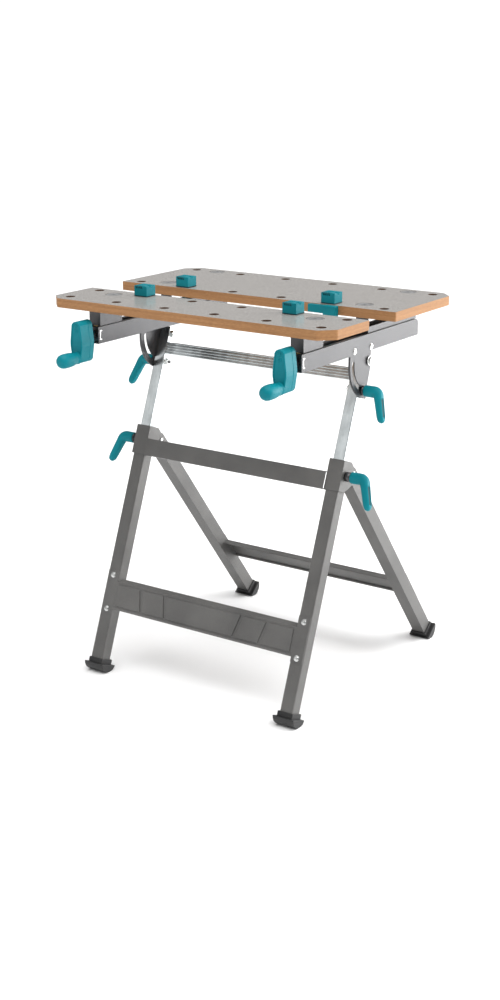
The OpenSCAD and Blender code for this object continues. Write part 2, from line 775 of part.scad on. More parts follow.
placed() {
  front_board();
  rear_board();
  front_board_screws();
  rear_board_screws();
  left_rail();
  right_rail();
  left_tilt_plate();
  right_tilt_plate();
  tilt_plate_bolts();
  left_front_carriage();
  right_front_carriage();
  spindle_nuts();
  left_rear_bracket();
  right_rear_bracket();
  bearing_plates();
  left_spindle();
  right_spindle();
  left_crank();
  right_crank();
  left_mast_tube();
  right_mast_tube();
  mast_crossbar();
  mast_plugs();
  pivot_bolts();
  tilt_nuts();
  left_tilt_bolt();
  right_tilt_bolt();
  left_tilt_lever();
  right_tilt_lever();
  left_front_leg();
  right_front_leg();
  left_sleeve();
  right_sleeve();
  guide_bushes();
  upper_crossbar();
  front_step_panel();
  front_panel_bolts();
  hinge_pins();
  left_front_foot();
  right_front_foot();
  left_rear_leg();
  right_rear_leg();
  rear_step_panel();
  rear_panel_bolts();
  left_rear_foot();
  right_rear_foot();
  left_height_bolt();
  right_height_bolt();
  left_height_lever();
  right_height_lever();
  front_left_dog();
  front_right_dog();
  rear_left_dog();
  rear_right_dog();
  edge_stop();
}
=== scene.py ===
import json
import math

import bmesh
import bpy
from mathutils import Matrix, Vector


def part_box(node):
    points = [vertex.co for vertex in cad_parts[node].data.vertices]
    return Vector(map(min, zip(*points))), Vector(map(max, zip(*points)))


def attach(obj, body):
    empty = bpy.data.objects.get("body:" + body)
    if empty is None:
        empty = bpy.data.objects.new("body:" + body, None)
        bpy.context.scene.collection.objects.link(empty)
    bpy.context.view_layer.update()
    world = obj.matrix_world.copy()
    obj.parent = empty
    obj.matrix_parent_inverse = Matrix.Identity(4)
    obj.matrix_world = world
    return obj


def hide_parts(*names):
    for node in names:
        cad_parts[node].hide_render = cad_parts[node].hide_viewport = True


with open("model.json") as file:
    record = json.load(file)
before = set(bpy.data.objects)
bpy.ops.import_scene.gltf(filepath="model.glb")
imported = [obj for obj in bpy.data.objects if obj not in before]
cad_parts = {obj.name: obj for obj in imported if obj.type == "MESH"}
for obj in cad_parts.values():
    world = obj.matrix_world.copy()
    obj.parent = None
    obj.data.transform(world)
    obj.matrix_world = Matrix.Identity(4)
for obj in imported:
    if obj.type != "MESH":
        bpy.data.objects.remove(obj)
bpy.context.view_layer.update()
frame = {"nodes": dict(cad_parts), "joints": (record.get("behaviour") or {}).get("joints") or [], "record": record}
nodes = frame["nodes"]
bodyOf = {n: body for body, names in frame["record"]["behaviour"]["bodies"].items() for n in names}
slotOf = {s["node"]: s["material_slot"] for s in frame["record"]["subparts"]}
joints = {j["name"]: j for j in frame["joints"]}
mm = 0.001


# camera, light and floor

studio = {
    "eye": (1.7432, -2.5893, 1.3442),
    "look": (-0.5367, 0.7897, -0.2974),
    "lens": 54.0,
    "floor": 0.9,
    "sky": 0.36,
    "backdrop": 1.05,
    "sun": 3.6,
    "floorSize": 200,
}


def buildStudio():
    cam = bpy.data.objects.new("camera", bpy.data.cameras.new("camera"))
    cam.data.lens = studio["lens"]
    cam.data.sensor_width = 36
    cam.location = studio["eye"]
    cam.rotation_euler = Vector(studio["look"]).to_track_quat("-Z", "Y").to_euler()
    bpy.context.scene.collection.objects.link(cam)
    bpy.context.scene.camera = cam

    world = bpy.data.worlds.new("studio")
    world.use_nodes = True
    # a white backdrop, with dimmer surroundings for light and reflections
    nodeTree = world.node_tree
    seen = nodeTree.nodes.new("ShaderNodeLightPath")
    level = nodeTree.nodes.new("ShaderNodeMapRange")
    level.inputs["To Min"].default_value = studio["sky"]
    level.inputs["To Max"].default_value = studio["backdrop"]
    back = nodeTree.nodes["Background"]
    back.inputs["Color"].default_value = (1, 1, 1, 1)
    nodeTree.links.new(seen.outputs["Is Camera Ray"], level.inputs["Value"])
    nodeTree.links.new(level.outputs[0], back.inputs["Strength"])
    bpy.context.scene.view_settings.view_transform = "Standard"
    bpy.context.scene.world = world

    # a broad soft sun from above, a bright panel behind on the right for the sides of the legs,
    # and a weaker one in front on the left
    sun = bpy.data.objects.new("softSun", bpy.data.lights.new("softSun", "SUN"))
    sun.data.energy, sun.data.angle = studio["sun"], math.radians(75)
    sun.rotation_euler = Vector((-0.25, 0.1, -1)).to_track_quat("-Z", "Y").to_euler()
    bpy.context.scene.collection.objects.link(sun)
    lamps = [
        ("sideLamp", (2.4, 2.6, 0.9), (0, 0, 0.45), 2.6, 165),
        ("frontLamp", (-1.9, -2.8, 1.7), (0, 0, 0.6), 2.2, 10),
    ]
    for name, place, target, size, power in lamps:
        light = bpy.data.lights.new(name, "AREA")
        light.shape, light.size, light.energy = "SQUARE", size, power
        lamp = bpy.data.objects.new(name, light)
        lamp.location = place
        lamp.rotation_euler = (Vector(target) - Vector(place)).to_track_quat("-Z", "Y").to_euler()
        bpy.context.scene.collection.objects.link(lamp)

    ground = bpy.data.meshes.new("floor")
    r = studio["floorSize"]
    ground.from_pydata([(-r, -r, 0), (r, -r, 0), (r, r, 0), (-r, r, 0)], [], [(0, 1, 2, 3)])
    floor = bpy.data.objects.new("floor", ground)
    bpy.context.scene.collection.objects.link(floor)
    paint = bpy.data.materials.new("floor")
    paint.use_nodes = True
    shader = paint.node_tree.nodes["Principled BSDF"]
    shader.inputs["Base Color"].default_value = (studio["floor"],) * 3 + (1,)
    shader.inputs["Roughness"].default_value = 0.8
    ground.materials.append(paint)


# shader expressions

class Wire:
    def __init__(self, graph, socket):
        self.graph, self.socket = graph, socket

    def calc(self, operation, a, b=0.0):
        return self.graph.node("ShaderNodeMath", {"operation": operation}, [a, b])

    def __add__(self, other): return self.calc("ADD", self, other)
    def __radd__(self, other): return self.calc("ADD", other, self)
    def __sub__(self, other): return self.calc("SUBTRACT", self, other)
    def __rsub__(self, other): return self.calc("SUBTRACT", other, self)
    def __mul__(self, other): return self.calc("MULTIPLY", self, other)
    def __rmul__(self, other): return self.calc("MULTIPLY", other, self)
    def __truediv__(self, other): return self.calc("DIVIDE", self, other)
    def __rtruediv__(self, other): return self.calc("DIVIDE", other, self)
    def __abs__(self): return self.calc("ABSOLUTE", self)


class Graph:
    def __init__(self, name):
        self.material = bpy.data.materials.new(name)
        self.material.use_nodes = True
        self.tree = self.material.node_tree
        self.tree.nodes.clear()

    def node(self, kind, settings=None, values=(), out=0):
        n = self.tree.nodes.new(kind)
        for key, value in (settings or {}).items():
            if key == "stops":
                ramp = n.color_ramp
                while len(ramp.elements) < len(value):
                    ramp.elements.new(0.5)
                for element, (at, colour) in zip(ramp.elements, value):
                    element.position, element.color = at, (*colour, 1)
            else:
                setattr(n, key, value)
        pairs = values.items() if isinstance(values, dict) else enumerate(values)
        for key, value in pairs:
            if isinstance(value, Wire):
                self.tree.links.new(value.socket, n.inputs[key])
            else:
                n.inputs[key].default_value = value
        return Wire(self, n.outputs[out])

    def place(self, stretch=(1, 1, 1)):
        at = self.node("ShaderNodeTexCoord", out="Object")
        return self.node("ShaderNodeMapping", {"vector_type": "POINT"}, {"Vector": at, "Scale": stretch})

    def noise(self, scale, detail=3.0, stretch=(1, 1, 1), roughness=0.55):
        values = {"Vector": self.place(stretch), "Scale": scale, "Detail": detail, "Roughness": roughness}
        return self.node("ShaderNodeTexNoise", None, values, "Fac")

    def ramp(self, fac, *stops):
        return self.node("ShaderNodeValToRGB", {"stops": stops}, {"Fac": fac})

    def mix(self, fac, a, b):
        return self.node("ShaderNodeMix", {"data_type": "RGBA"}, {0: fac, 6: tone(a), 7: tone(b)}, 2)

    def smooth(self, value, low, high):
        span = {"Value": value, "From Min": low, "From Max": high}
        return self.node("ShaderNodeMapRange", {"interpolation_type": "SMOOTHSTEP"}, span)

    def bump(self, height, strength, distance):
        return self.node("ShaderNodeBump", None, {"Strength": strength, "Distance": distance, "Height": height})

    def finish(self, **sockets):
        shader = self.tree.nodes.new("ShaderNodeBsdfPrincipled")
        for key, value in sockets.items():
            socket = shader.inputs[key.replace("_", " ")]
            if isinstance(value, Wire):
                self.tree.links.new(value.socket, socket)
            else:
                socket.default_value = tone(value)
        end = self.tree.nodes.new("ShaderNodeOutputMaterial")
        self.tree.links.new(shader.outputs[0], end.inputs[0])
        return self.material


def tone(value):
    return (*value, 1) if isinstance(value, tuple) and len(value) == 3 else value


# finishes

def framePaint(name, dark, light):
    g = Graph(name)
    peel = g.noise(900, 2)
    cloud = g.noise(9, 3)
    grit = g.noise(2600, 1)
    colour = g.mix(g.smooth(cloud * 0.4 + grit * 0.6, 0.38, 0.62), dark, light)
    rough = 0.26 + 0.14 * peel + 0.08 * cloud
    return g.finish(Base_Color=colour, Metallic=0.3, Roughness=rough, Specular_IOR_Level=0.6,
                    Normal=g.bump(peel * 0.6 + grit * 0.4, 0.4, 0.0005))


def brightZinc(name, colour, rough, stretch, wear=0.5):
    g = Graph(name)
    streak = g.noise(60, 4, stretch)
    cloud = g.noise(22, 3)
    spangle = g.noise(340, 2)
    shade = g.smooth(streak * 0.55 + cloud * 0.45, 0.3, 0.7)
    duller = tuple(c * 0.62 for c in colour)
    tint = g.mix(shade, duller, colour)
    return g.finish(Base_Color=tint, Metallic=1.0, Roughness=rough + wear * 0.16 * streak + 0.06 * cloud,
                    Normal=g.bump(spangle * 0.4 + streak * 0.6, 0.06, 0.0006))


def laminateTop(name):
    g = Graph(name)
    speck = g.noise(900, 2)
    cloud = g.noise(6, 3)
    fine = g.noise(240, 4, (1, 3, 1))
    grey = g.ramp(speck * 0.6 + fine * 0.4,
                  (0.4, (0.18, 0.168, 0.155)), (0.5, (0.315, 0.298, 0.278)), (0.6, (0.47, 0.45, 0.43)))
    colour = g.mix(g.smooth(cloud, 0.3, 0.7) * 0.3, grey, (0.33, 0.31, 0.288))
    rub = g.noise(30, 5, (1, 6, 1))
    return g.finish(Base_Color=colour, Roughness=0.1 + 0.1 * rub + 0.04 * speck, Specular_IOR_Level=0.6,
                    Normal=g.bump(speck, 0.12, 0.0003))


def fibreboard(name, pale, deep):
    g = Graph(name)
    fibre = g.noise(420, 5, (0.35, 0.35, 1.6))
    chips = g.noise(1800, 3, (0.6, 0.6, 1.5))
    layer = g.noise(24, 3, (0.15, 0.15, 9))
    shade = g.smooth(fibre * 0.45 + chips * 0.2 + layer * 0.35, 0.32, 0.68)
    return g.finish(Base_Color=g.mix(shade, deep, pale), Roughness=0.62 + 0.2 * fibre,
                    Normal=g.bump(fibre * 0.5 + chips * 0.5, 0.3, 0.0004))


def mouldedPlastic(name, colour, rough, gloss=0.5, grain=2200):
    g = Graph(name)
    spark = g.noise(grain, 2)
    cloud = g.noise(14, 3)
    light = tuple(min(1, c * 1.12 + 0.004) for c in colour)
    dark = tuple(c * 0.88 for c in colour)
    tint = g.mix(g.smooth(cloud * 0.7 + spark * 0.3, 0.3, 0.7), dark, light)
    return g.finish(Base_Color=tint, Roughness=rough + 0.1 * spark + 0.06 * cloud, Specular_IOR_Level=gloss,
                    Normal=g.bump(spark, 0.14, 0.0003))


finishes = {
    "laminate": laminateTop("laminate"),
    "board": fibreboard("boardEdge", (0.40, 0.20, 0.078), (0.26, 0.12, 0.042)),
    # the hole walls get a much darker fibreboard: painted shade inside the holes
    "holeWallPaintedShade": fibreboard("holeWallPaintedShade", (0.10, 0.05, 0.025), (0.055, 0.026, 0.014)),
    "boardBack": fibreboard("boardBack", (0.30, 0.17, 0.09), (0.20, 0.11, 0.055)),
    "board_disc": mouldedPlastic("discGrey", (0.20, 0.20, 0.20), 0.34),
    "frame_paint": framePaint("charcoalPaint", (0.080, 0.079, 0.077), (0.138, 0.135, 0.130)),
    # a darker copy of the charcoal paint, for the rails, tilt plates, carriages and brackets under the boards
    "darkerCharcoalPaint": framePaint("darkerCharcoalPaint", (0.030, 0.030, 0.033), (0.052, 0.052, 0.056)),
    "zinc_tube": brightZinc("brightTube", (0.66, 0.70, 0.71), 0.16, (1, 1, 0.05)),
    "fastener": brightZinc("zincBolt", (0.74, 0.75, 0.74), 0.16, (1, 1, 1)),
    "dark_steel": brightZinc("blackenedSteel", (0.10, 0.10, 0.105), 0.3, (1, 1, 1)),
    "nut_brass": brightZinc("turnedBrass", (0.72, 0.52, 0.24), 0.22, (1, 1, 1)),
    "teal_plastic": mouldedPlastic("tealPlastic", (0.0, 0.185, 0.225), 0.36, 0.14),
    # dark teal: painted shade in the dogs' slots, round the dogs' bases and in the levers' channels
    "tealPaintedShade": mouldedPlastic("tealPaintedShade", (0.0, 0.045, 0.055), 0.5, 0.2),
    "black_plastic": mouldedPlastic("blackPlastic", (0.009, 0.009, 0.0095), 0.36),
}


# mesh helpers

def fromNode(name):
    bm = bmesh.new()
    bm.from_mesh(nodes[name].data)
    bmesh.ops.remove_doubles(bm, verts=bm.verts, dist=0.002 * mm)
    bmesh.ops.dissolve_limit(bm, angle_limit=math.radians(0.6), verts=bm.verts, edges=bm.edges)
    return bm


def sharpEdges(bm, least=20, rule=None):
    limit = math.radians(least)
    found = [e for e in bm.edges if len(e.link_faces) == 2 and e.calc_face_angle(0) > limit]
    return [e for e in found if rule is None or rule(e)]


def roundOver(bm, width, segments=2, least=20, rule=None):
    edges = sharpEdges(bm, least, rule)
    if edges:
        bmesh.ops.bevel(bm, geom=edges, offset=width * mm, segments=segments, profile=0.5,
                        affect="EDGES", clamp_overlap=True, offset_type="OFFSET")
    return bm


def shade(bm, limit=38):
    for face in bm.faces:
        face.smooth = face.calc_area() < 150 * mm * mm
    for edge in bm.edges:
        edge.smooth = len(edge.link_faces) == 2 and edge.calc_face_angle(0) < math.radians(limit)


def makePiece(name, bm, replaced, material=None, limit=38):
    shade(bm, limit)
    mesh = bpy.data.meshes.new(name)
    bm.to_mesh(mesh)
    bm.free()
    first = replaced[0]
    for m in material if isinstance(material, list) else [material or finishes[slotOf[first]]]:
        mesh.materials.append(m)
    piece = bpy.data.objects.new(name, mesh)
    bpy.context.scene.collection.objects.link(piece)
    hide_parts(*replaced)
    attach(piece, bodyOf[first])
    return piece


for node, obj in nodes.items():
    obj.data.materials.clear()
    obj.data.materials.append(finishes[slotOf[node]])
print("finishes are on the frame's own parts")


def softPart(node, passes, material=None, limit=38):
    bm = fromNode(node)
    for width, segments, rule in passes:
        roundOver(bm, width, segments, 20, rule)
    return makePiece(node + "Finished", bm, [node], material, limit)


def isLong(edge):
    return edge.calc_length() > 60 * mm and edge.is_convex


def isOuter(edge):
    return edge.is_convex


def islands(node):
    bm = bmesh.new()
    bm.from_mesh(nodes[node].data)
    bmesh.ops.remove_doubles(bm, verts=bm.verts, dist=0.002 * mm)
    seen, found = set(), []
    for start in bm.verts:
        if start in seen:
            continue
        seen.add(start)
        group, queue = [], [start]
        while queue:
            v = queue.pop()
            group.append(v.co.copy())
            for e in v.link_edges:
                w = e.other_vert(v)
                if w not in seen:
                    seen.add(w)
                    queue.append(w)
        found.append(group)
    bm.free()
    return found


quarters = ((1, 1), (-1, 1), (-1, -1), (1, -1))


def corners(group):
    return [Vector([f(v[i] for v in group) for i in range(3)]) for f in (min, max)]


def loft(bm, rings, material=0):
    rows = [[bm.verts.new(p) for p in ring] for ring in rings]
    count = len(rows[0])
    for a, b in zip(rows, rows[1:]):
        for i in range(count):
            j = (i + 1) % count
            bm.faces.new((a[i], a[j], b[j], b[i])).material_index = material
    bm.faces.new(list(reversed(rows[0]))).material_index = material
    bm.faces.new(rows[-1]).material_index = material
    return rows


def lathe(bm, profile, place, axis, steps=32):
    turn = Vector(axis).to_track_quat("Z", "X")
    rings = []
    for r, h in profile:
        angles = [2 * math.pi * i / steps for i in range(steps)]
        rings.append([Vector(place) + turn @ Vector((r * mm * math.cos(a), r * mm * math.sin(a), h * mm))
                      for a in angles])
    return loft(bm, rings)


def roundedRing(halfU, halfV, radius, perCorner=5):
    ring = []
    for k, (su, sv) in enumerate(quarters):
        for i in range(perCorner + 1):
            a = math.radians(90 * k + 90 * i / perCorner)
            ring.append((su * (halfU - radius) + radius * math.cos(a),
                         sv * (halfV - radius) + radius * math.sin(a)))
    return ring


# geometry node trees

class Tree(Graph):
    def __init__(self, name, inputs):
        self.tree = bpy.data.node_groups.new(name, "GeometryNodeTree")
        face = self.tree.interface
        face.new_socket("Geometry", in_out="OUTPUT", socket_type="NodeSocketGeometry")
        face.new_socket("Geometry", in_out="INPUT", socket_type="NodeSocketGeometry")
        for label, value in inputs.items():
            whole = "NodeSocketInt" if isinstance(value, int) else "NodeSocketFloat"
            kind = "NodeSocketMaterial" if value is None else whole
            socket = face.new_socket(label, in_out="INPUT", socket_type=kind)
            if value is not None:
                socket.default_value = value
        self.start = self.tree.nodes.new("NodeGroupInput")

    def given(self, label):
        return Wire(self, self.start.outputs[label])

    def close(self, geometry, material):
        real = self.node("GeometryNodeRealizeInstances", None, [geometry])
        painted = self.node("GeometryNodeSetMaterial", None, {"Geometry": real, "Material": material})
        end = self.tree.nodes.new("NodeGroupOutput")
        self.tree.links.new(painted.socket, end.inputs[0])
        return self.tree


def grow(name, tree, values, seedMesh, replaced):
    seed = bpy.data.objects.new(name, seedMesh)
    bpy.context.scene.collection.objects.link(seed)
    modifier = seed.modifiers.new("grow", "NODES")
    modifier.node_group = tree
    ids = {s.name: s.identifier for s in tree.interface.items_tree if s.in_out == "INPUT"}
    for label, value in values.items():
        modifier[ids[label]] = value
    bpy.context.view_layer.update()
    shaped = seed.evaluated_get(bpy.context.evaluated_depsgraph_get())
    mesh = bpy.data.meshes.new_from_object(shaped)
    mesh.name = name
    seed.modifiers.remove(modifier)
    seed.data = mesh
    bm = bmesh.new()
    bm.from_mesh(mesh)
    shade(bm)
    bm.to_mesh(mesh)
    bm.free()
    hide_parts(*replaced)
    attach(seed, bodyOf[replaced[0]])
    return seed


def boltTree():
    t = Tree("bolts", {"Washer Radius": 0.008, "Washer Height": 0.001,
                       "Head Radius": 0.006, "Head Height": 0.003, "Head Sides": 6, "Socket Radius": 0.0025,
                       "Shank Radius": 0.003, "Shank Length": 0.01, "Finish": None})

    def disc(sides, low, high, height, lift):
        cone = t.node("GeometryNodeMeshCone", None,
                      {"Vertices": sides, "Radius Top": high, "Radius Bottom": low, "Depth": height})
        up = t.node("ShaderNodeCombineXYZ", None, [0.0, 0.0, lift])
        return t.node("GeometryNodeTransform", None, {"Geometry": cone, "Translation": up})

    wr, wh = t.given("Washer Radius"), t.given("Washer Height")
    hr, hh, sides = t.given("Head Radius"), t.given("Head Height"), t.given("Head Sides")
    sr, sl = t.given("Shank Radius"), t.given("Shank Length")
    socket = t.given("Socket Radius")
    parts = [
        disc(28, wr, wr, wh * 0.7, 0.0),
        disc(28, wr, wr * 0.95, wh * 0.3, wh * 0.7),
        disc(sides, hr, hr, hh * 0.62, wh),
        disc(sides, hr, hr * 0.9, hh * 0.22, wh + hh * 0.62),
        disc(24, hr * 0.86, socket * 1.25, hh * 0.2, wh + hh * 0.8),
        disc(16, sr, sr, sl, 0.0 - sl),
    ]
    joined = t.tree.nodes.new("GeometryNodeJoinGeometry")
    for part in parts:
        t.tree.links.new(part.socket, joined.inputs[0])
    facing = t.node("GeometryNodeInputNamedAttribute", {"data_type": "FLOAT_VECTOR"}, {"Name": "facing"})
    turn = t.node("FunctionNodeAlignRotationToVector", {"axis": "Z"}, {"Vector": facing})
    placed = t.node("GeometryNodeInstanceOnPoints", None,
                    {"Points": t.given("Geometry"), "Instance": Wire(t, joined.outputs[0]), "Rotation": turn})
    return t.close(placed, t.given("Finish"))


def threadTree():
    t = Tree("threads", {"Radius": 0.005, "Length": 0.3, "Lead": 0.004, "Depth": 0.0008,
                         "Rings": 400, "Finish": None})
    rod = t.node("GeometryNodeMeshCylinder", None, {"Vertices": 20, "Side Segments": t.given("Rings"),
                 "Radius": t.given("Radius"), "Depth": t.given("Length")})
    at = t.node("GeometryNodeInputPosition")
    split = t.tree.nodes.new("ShaderNodeSeparateXYZ")
    t.tree.links.new(at.socket, split.inputs[0])
    x, y, z = (Wire(t, split.outputs[i]) for i in range(3))
    turns = z / t.given("Lead") - t.node("ShaderNodeMath", {"operation": "ARCTAN2"}, [y, x]) / math.tau
    wave = abs(t.node("ShaderNodeMath", {"operation": "FRACT"}, [turns]) - 0.5) * 2.0
    shrink = 1.0 - wave * t.given("Depth") / t.given("Radius")
    moved = t.node("ShaderNodeCombineXYZ", None, [x * shrink, y * shrink, z])
    cut = t.node("GeometryNodeSetPosition", None, {"Geometry": rod, "Position": moved})
    spot = t.node("GeometryNodeInstanceOnPoints", None, {"Points": t.given("Geometry"), "Instance": cut,
                  "Rotation": t.node("FunctionNodeEulerToRotation", None, {0: (math.pi / 2, 0, 0)})})
    return t.close(spot, t.given("Finish"))


bolts, threads = boltTree(), threadTree()


def boltSeeds(node, outward):
    spots = []
    for group in islands(node):
        low, high = corners(group)
        middle = (low + high) / 2
        axis = outward(middle)
        reach = [v.dot(axis) for v in group]
        spots.append((middle, axis.normalized(), min(reach), max(reach)))
    return spots


def makeBolts(name, node, outward, sizes):
    spots = boltSeeds(node, outward)
    above = (sizes["washerHeight"] + sizes["headHeight"]) * mm
    points, facing = [], []
    for middle, axis, low, high in spots:
        points.append(middle + axis * (high - above - middle.dot(axis)))
        facing.append(axis)
    mesh = bpy.data.meshes.new(name)
    mesh.from_pydata(points, [], [])
    attribute = mesh.attributes.new("facing", "FLOAT_VECTOR", "POINT")
    for i, direction in enumerate(facing):
        attribute.data[i].vector = direction
    length = max(high - low for _, _, low, high in spots) - above
    values = {"Washer Radius": sizes["washerRadius"] * mm, "Washer Height": sizes["washerHeight"] * mm,
              "Head Radius": sizes["headRadius"] * mm, "Head Height": sizes["headHeight"] * mm,
              "Head Sides": sizes["sides"], "Socket Radius": sizes["socket"] * mm,
              "Shank Radius": sizes["shank"] * mm, "Shank Length": max(length, 1 * mm),
              "Finish": finishes[slotOf[node]]}
    return grow(name, bolts, values, mesh, [node])


# boards: laminate on top, milled fibreboard round the edges and in the holes, where it is painted much darker as
# painted shade

boardShape = {"corner": 2.4, "arris": 0.55, "holeInset": 8, "cornerReach": 40}


def makeBoard(node):
    s, near = boardShape, 0.1 * mm
    bm = fromNode(node)
    low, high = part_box(node)

    def upright(edge):
        return abs(edge.verts[0].co.z - edge.verts[1].co.z) > 10 * mm

    def onSkin(edge):
        a, b = (v.co.z for v in edge.verts)
        return abs(a - b) < near and min(abs(a - high.z), abs(a - low.z)) < near

    roundOver(bm, s["corner"], 3, 25, upright)
    roundOver(bm, s["arris"], 2, 40, onSkin)
    bm.normal_update()
    for face in bm.faces:
        at = face.calc_center_median()
        inX, inY = (high.x - abs(at.x)) / mm, min(at.y - low.y, high.y - at.y) / mm
        if face.normal.z > 0.95 and at.z > high.z - 0.5 * mm:
            face.material_index = 0
        elif face.normal.z < -0.95:
            face.material_index = 2
        elif min(inX, inY) > s["holeInset"] and inX + inY > s["cornerReach"]:
            face.material_index = 3  # walls of the holes, past the edges and the cut corners: their dark fibreboard is painted shade
        else:
            face.material_index = 1
    skins = [finishes[k] for k in ("laminate", "board", "boardBack", "holeWallPaintedShade")]
    return makePiece(node + "Finished", bm, [node], skins, 30)


for node in ("front_board", "rear_board"):
    makeBoard(node)
print("boards are milled")


# covers of the board screws: dished discs with a raised centre and a cross slot, drawn as a dark steel cross for
# painted shade in the slot

discShape = {"radius": 17.6, "rim": 2.2, "dish": 0.7, "boss": 5.5, "slot": 7.0, "slotWidth": 1.3}


def makeDiscs(node):
    bm = bmesh.new()
    s = discShape
    for group in islands(node):
        low, high = corners(group)
        top = (low + high) / 2
        top.z = high.z - 0.15 * mm
        outer, inner = s["radius"], s["radius"] - s["rim"]
        profile = [(4, -(high.z - low.z) / mm), (4, -2.4), (outer, -2.3), (outer, -0.3), (outer - 0.4, 0),
                   (inner, 0), (inner - 0.5, -s["dish"]), (s["boss"] + 0.6, -s["dish"]),
                   (s["boss"], -0.1), (s["boss"] - 0.4, 0), (0.4, 0)]
        lathe(bm, profile, top, (0, 0, 1), 40)
        # the cross slot is a solid dark steel cross standing in the boss: painted shade in the slot
        for turn in (0, math.pi / 2):
            half = [Vector((sx * s["slot"] / 2, sy * s["slotWidth"] / 2, 0)) for sx, sy in quarters]
            spin = Matrix.Rotation(turn + 0.3, 3, "Z")
            rings = [[top + spin @ (p * mm) + Vector((0, 0, h * mm)) for p in half] for h in (-1.2, 0.12)]
            loft(bm, rings, 1)
    return makePiece(node + "Finished", bm, [node], [finishes["board_disc"], finishes["dark_steel"]])


for node in ("front_board_screws", "rear_board_screws"):
    makeDiscs(node)


# sheet and tube of the frame

frameShape = {"tubeCorner": 2.8, "mastCorner": 1.3, "railCorner": 2.2, "sheetEdge": 0.45, "fold": 1.6,
              "cutEnd": 0.3, "mastEnd": 0.25, "carriage": 0.6, "bracket": 0.4, "crossbar": 0.9,
              "plug": 0.8, "bush": 0.6, "nut": 0.8}

for side in ("left_", "right_"):
    for tube in ("front_leg", "rear_leg"):
        softPart(side + tube, [(frameShape["tubeCorner"], 4, isLong), (frameShape["cutEnd"], 1, isOuter)])
    softPart(side + "mast_tube", [(frameShape["mastCorner"], 4, isLong), (frameShape["mastEnd"], 1, isOuter)])
    rail = [(frameShape["railCorner"], 4, isLong), (frameShape["cutEnd"], 1, isOuter)]
    softPart(side + "rail", rail, finishes["darkerCharcoalPaint"])
    softPart(side + "sleeve", [(frameShape["sheetEdge"], 2, isOuter)])
    softPart(side + "tilt_plate", [(frameShape["sheetEdge"], 2, isOuter)], finishes["darkerCharcoalPaint"])
    softPart(side + "front_carriage", [(frameShape["carriage"], 2, isOuter)], finishes["darkerCharcoalPaint"])
    softPart(side + "rear_bracket", [(frameShape["bracket"], 2, isOuter)], finishes["darkerCharcoalPaint"])
softPart("upper_crossbar", [(frameShape["fold"], 3, isLong), (frameShape["cutEnd"], 1, isOuter)])
softPart("mast_crossbar", [(frameShape["crossbar"], 3, isLong)])
softPart("mast_plugs", [(frameShape["plug"], 2, isOuter)])
softPart("guide_bushes", [(frameShape["bush"], 2, isOuter)])
softPart("spindle_nuts", [(frameShape["nut"], 2, isOuter)])
print("frame is rounded off")


# step panels: pressed fields with rolled shoulders

legUp = Vector(joints["height_slide"]["axis"]).normalized()
legFront = Vector((0, -legUp.z, legUp.y))


def rearNormal():
    middles = (sum(corners(group), Vector()) / 2 for group in islands("rear_panel_bolts"))
    spots = sorted(middles, key=lambda v: (v.x, v.z))
    along = (spots[1] - spots[0]).normalized()
    return Vector((0, along.z, -along.y))


panelShape = {"press": 1.6, "shoulder": 1.3, "belowField": 18, "lip": 0.5, "edge": 0.4}


def makePanel(node, face):
    s = panelShape
    bm = fromNode(node)
    up = Vector((0, -face.z, face.y)) if face.y > 0 else Vector((0, face.z, -face.y))
    front = max(v.co.dot(face) for v in bm.verts)
    bottom = min(v.co.dot(up) for v in bm.verts)
    pressed = set()
    for v in bm.verts:
        behindLip = front - v.co.dot(face)
        if abs(behindLip - s["lip"] * mm) < 0.04 * mm and v.co.dot(up) > bottom + s["belowField"] * mm:
            pressed.add(v)
    for v in pressed:
        v.co += face * s["press"] * mm
    rims = sharpEdges(bm, 17.2, lambda e: set(e.verts) <= pressed)
    bmesh.ops.bevel(bm, geom=rims, offset=s["shoulder"] * mm, segments=4, profile=0.5,
                    affect="EDGES", clamp_overlap=True)
    roundOver(bm, s["edge"], 1, 50, isOuter)
    return makePiece(node + "Pressed", bm, [node])


rearFace = rearNormal()
makePanel("front_step_panel", legFront)
makePanel("rear_step_panel", rearFace)


# bolts and nuts that repeat

tiltPlateBolt = {"washerRadius": 6.5, "washerHeight": 0.9, "headRadius": 5.0, "headHeight": 1.9,
                 "sides": 24, "socket": 1.6, "shank": 3.9}
panelBolt = {"washerRadius": 6.4, "washerHeight": 0.7, "headRadius": 4.6, "headHeight": 1.9,
             "sides": 24, "socket": 2.4, "shank": 2.8}
hingePin = {"washerRadius": 6.5, "washerHeight": 0.5, "headRadius": 5.4, "headHeight": 1.7,
            "sides": 20, "socket": 0.8, "shank": 4.0}
tiltNut = {"washerRadius": 9, "washerHeight": 1.5, "headRadius": 7.5, "headHeight": 5.5,
           "sides": 6, "socket": 4.2, "shank": 4.0}


def sideways(middle):
    return Vector((1 if middle.x > 0 else -1, 0, 0))


makeBolts("tiltPlateBolts", "tilt_plate_bolts", sideways, tiltPlateBolt)
makeBolts("frontPanelBolts", "front_panel_bolts", lambda middle: legFront, panelBolt)
makeBolts("rearPanelBolts", "rear_panel_bolts", lambda middle: rearFace, panelBolt)
makeBolts("hingePins", "hinge_pins", sideways, hingePin)
makeBolts("tiltNuts", "tilt_nuts", lambda middle: -sideways(middle), tiltNut)


# pivot bolts: a washer each side of the plate, hexagon nuts and the end of the bolt

pivotShape = {"washer": 10, "washerThick": 1.2, "nut": 8, "nutThick": 3.6, "lockNut": 7, "bolt": 5,
              "tube": 12.5, "inside": 13.2, "plate": 16.4, "end": 3.6}


